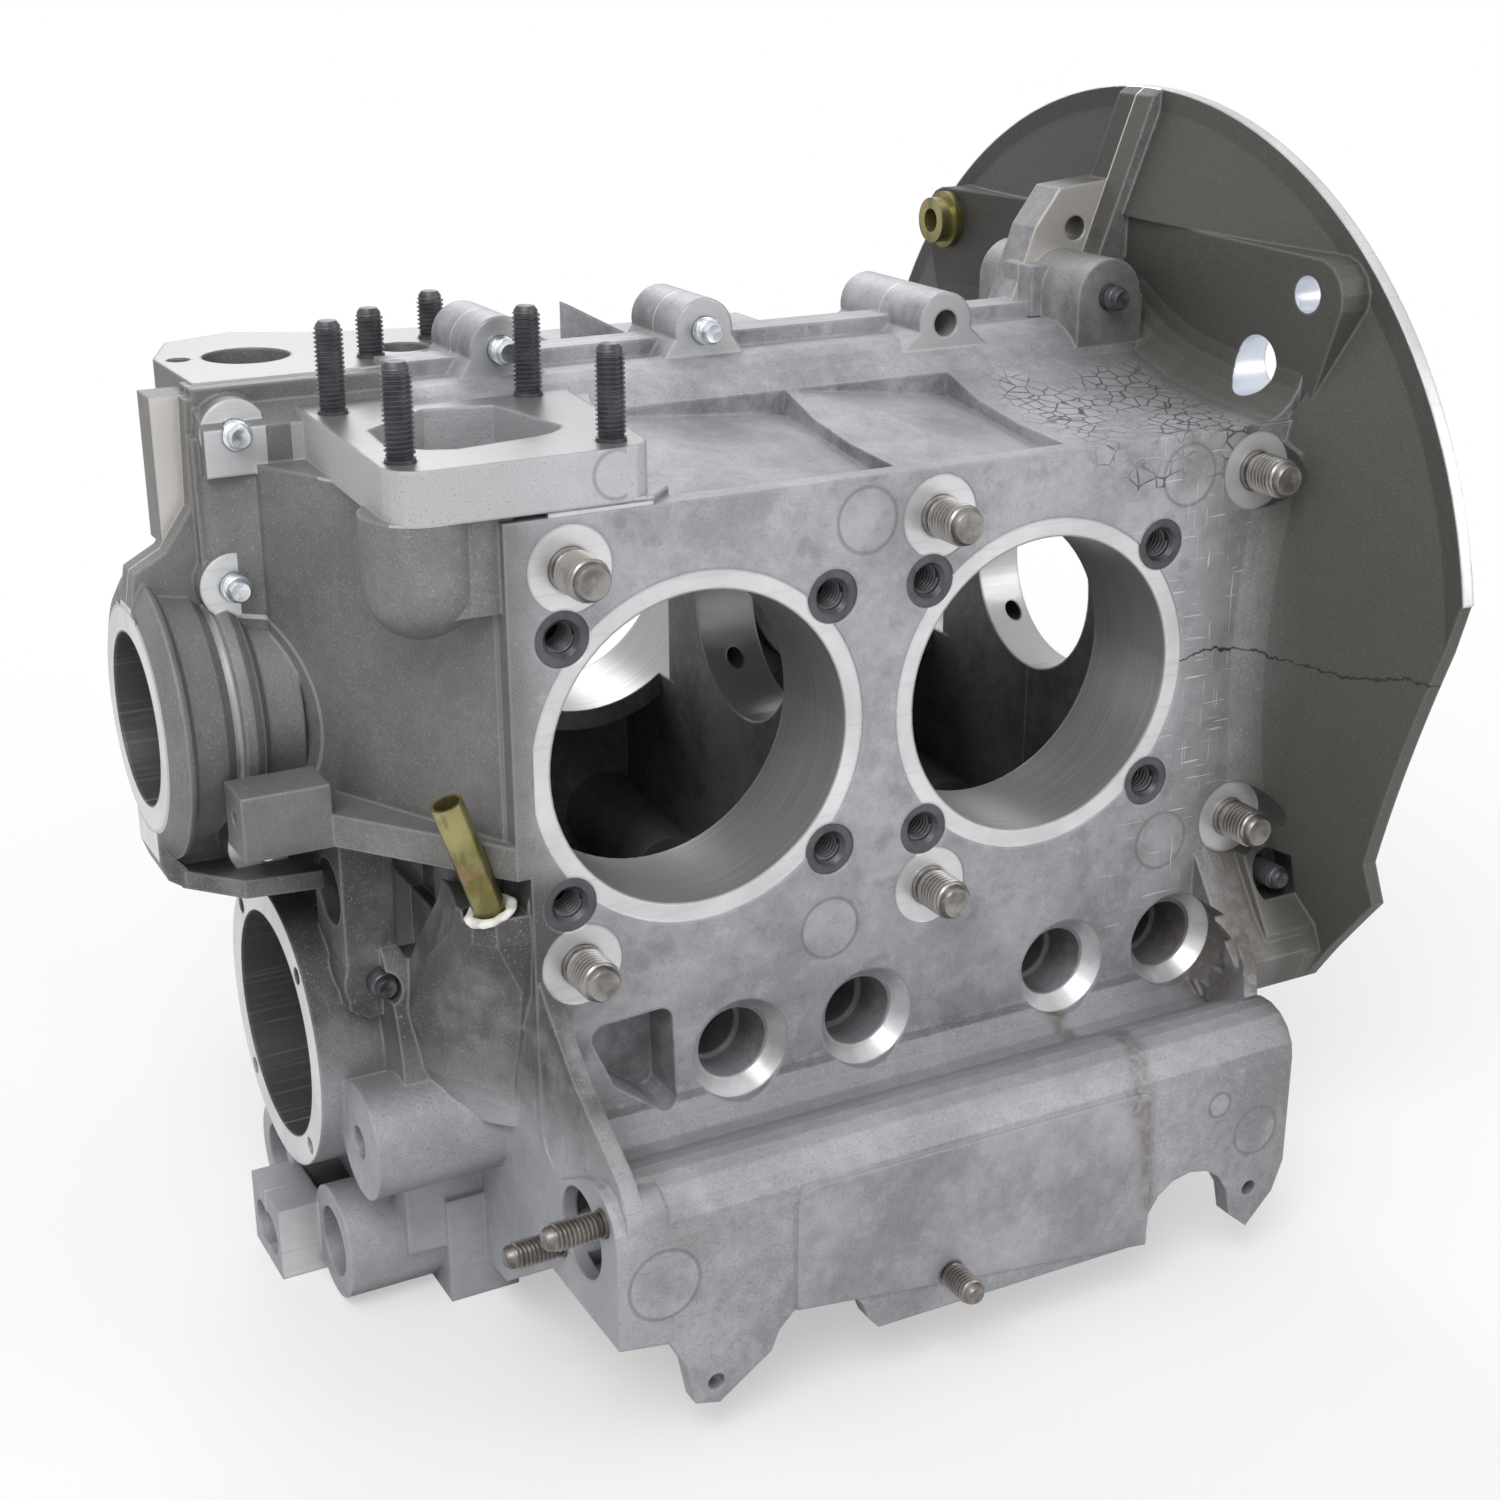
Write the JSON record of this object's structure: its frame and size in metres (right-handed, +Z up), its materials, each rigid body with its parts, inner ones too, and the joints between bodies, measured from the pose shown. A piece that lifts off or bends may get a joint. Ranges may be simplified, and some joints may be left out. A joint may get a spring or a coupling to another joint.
{
  "type": "engine case",
  "caption": "Split aluminium crankcase of an air-cooled flat engine with register bores, flywheel housing and threaded studs.",
  "frame": {"origin": "crankshaft axis at the middle of the centre main bearing", "axes": "+X along the crankshaft to the flywheel face, +Z up, the halves part at Y = 0"},
  "size_m": [0.346, 0.322, 0.3445],
  "materials": {
    "casting": "as-cast with machined faces",
    "stud_steel": "plain threaded steel",
    "insert_steel": "black oxide",
    "black_steel": "black oxide",
    "zinc_steel": "bright zinc",
    "yellow_zinc": "yellow zinc",
    "sealant": "matte"
  },
  "bodies": {
    "root": {"right_half": "casting", "left_half": "casting", "main_studs": "stud_steel", "right_head_inserts": "insert_steel", "left_head_inserts": "insert_steel", "pedestal_studs": "black_steel", "fuel_pump_studs": "black_steel", "top_case_studs": "zinc_steel", "front_case_studs": "zinc_steel", "oil_pump_case_stud": "black_steel", "rear_case_stud": "black_steel", "lower_case_stud": "black_steel", "right_port_studs": "stud_steel", "left_port_studs": "stud_steel", "skirt_studs": "stud_steel", "strainer_studs": "stud_steel", "mount_nut": "yellow_zinc", "dipstick_tube": "yellow_zinc", "tube_sealant": "sealant", "oil_pickup_tube": "stud_steel"}
  },
  "joints": []
}
